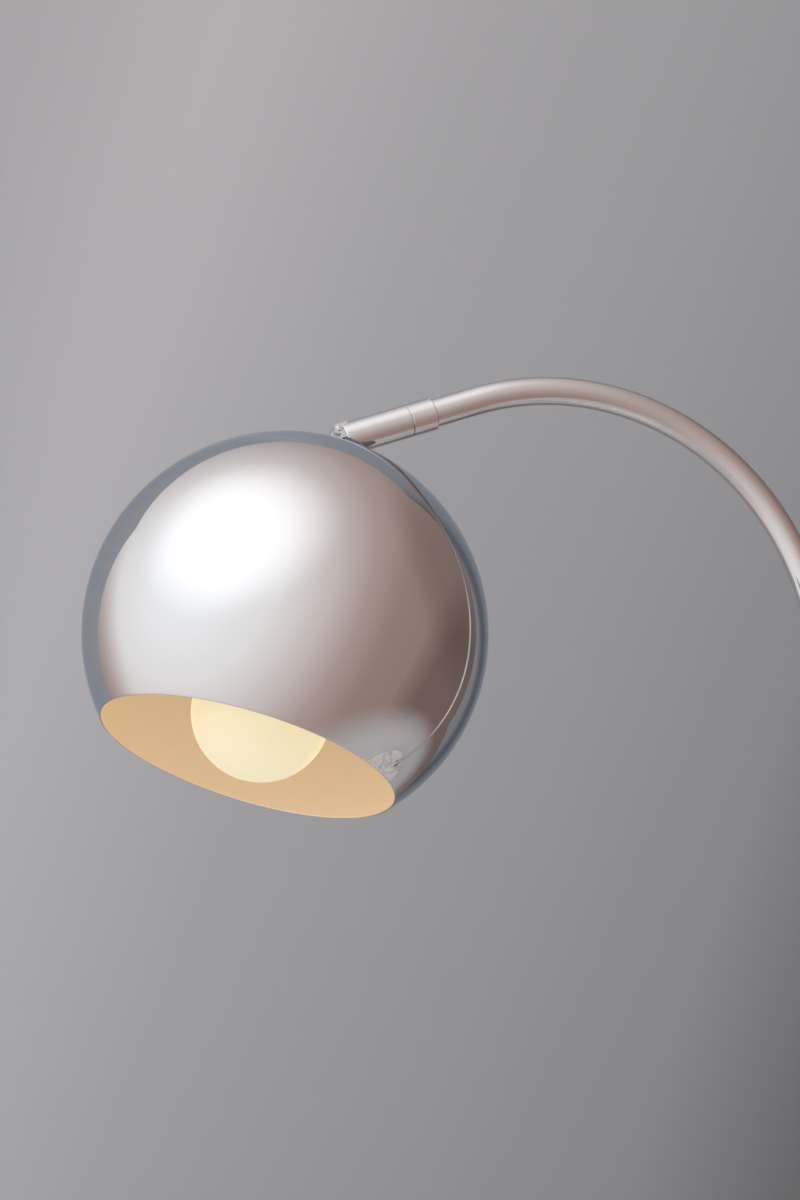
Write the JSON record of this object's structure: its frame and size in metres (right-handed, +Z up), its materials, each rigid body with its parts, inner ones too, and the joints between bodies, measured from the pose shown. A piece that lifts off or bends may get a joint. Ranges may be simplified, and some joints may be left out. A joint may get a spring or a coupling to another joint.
{
  "type": "arc floor lamp",
  "caption": "Arc floor lamp with a tilting chrome globe shade, a swivelling tube end, a bent chrome tube and a round marble base.",
  "frame": {"origin": "centre of the base's underside, on the floor", "axes": "+Z up; the arc lies in the XZ plane, with the pole on the +X side of the base and the shade out towards -X"},
  "size_m": [0.7549, 0.3968, 0.8725],
  "materials": {
    "marble": "polished",
    "felt": "matte",
    "chrome": "polished",
    "shade_chrome": "polished",
    "zinc_steel": "satin",
    "nylon": "satin",
    "rubber": "matte",
    "holder_plastic": "satin",
    "porcelain": "gloss",
    "brass": "satin",
    "opal_glass": "gloss",
    "clear_glass": "gloss",
    "filament": "gloss",
    "bulb_metal": "satin",
    "flex_pvc": "satin"
  },
  "bodies": {
    "stand": {"base_felt": "felt", "base_disc": "marble", "clamp_washer": "zinc_steel", "clamp_nut": "zinc_steel", "tie_rod": "zinc_steel", "pole_socket": "chrome", "socket_grub_screw": "zinc_steel", "cord_grommet": "rubber", "lower_pole": "chrome", "pole_spigot": "zinc_steel", "spigot_screw": "zinc_steel", "arc_tube": "chrome", "end_collar": "chrome", "flex_stand": "flex_pvc"},
    "swivel_head": {"swivel_stub": "chrome", "swivel_bolt": "zinc_steel", "swivel_inner_nut": "zinc_steel", "swivel_washer": "nylon", "swivel_nut": "zinc_steel", "tilt_pin": "chrome", "tilt_pin_nut": "chrome", "flex_stub": "flex_pvc"},
    "shade": {"tilt_tongue": "chrome", "shade_shell": "shade_chrome", "shade_washer": "zinc_steel", "shade_nut": "zinc_steel", "stem_rod": "zinc_steel", "stem_tube": "chrome", "holder_cap": "holder_plastic", "holder_body": "holder_plastic", "holder_ring": "holder_plastic", "holder_insert": "porcelain", "holder_screw_shell": "brass", "holder_contact": "brass", "holder_terminals": "brass", "bulb_glass": "opal_glass", "bulb_cap": "bulb_metal", "bulb_contact": "bulb_metal", "bulb_mount": "clear_glass", "bulb_filaments": "filament", "flex_shade": "flex_pvc"}
  },
  "joints": [
    {"name": "shade_swivel", "type": "hinge", "parent": "stand", "child": "swivel_head", "pos_m": [-0.25756, 0, 0.83439], "axis": [0.9659, 0, 0.2588], "range_deg": [-77.7, 102.3]},
    {"name": "shade_tilt", "type": "hinge", "parent": "swivel_head", "child": "shade", "pos_m": [-0.32275, 0.00202, 0.82653], "axis": [-0.0551, -0.977, 0.2058], "range_deg": [-65, 16]}
  ]
}
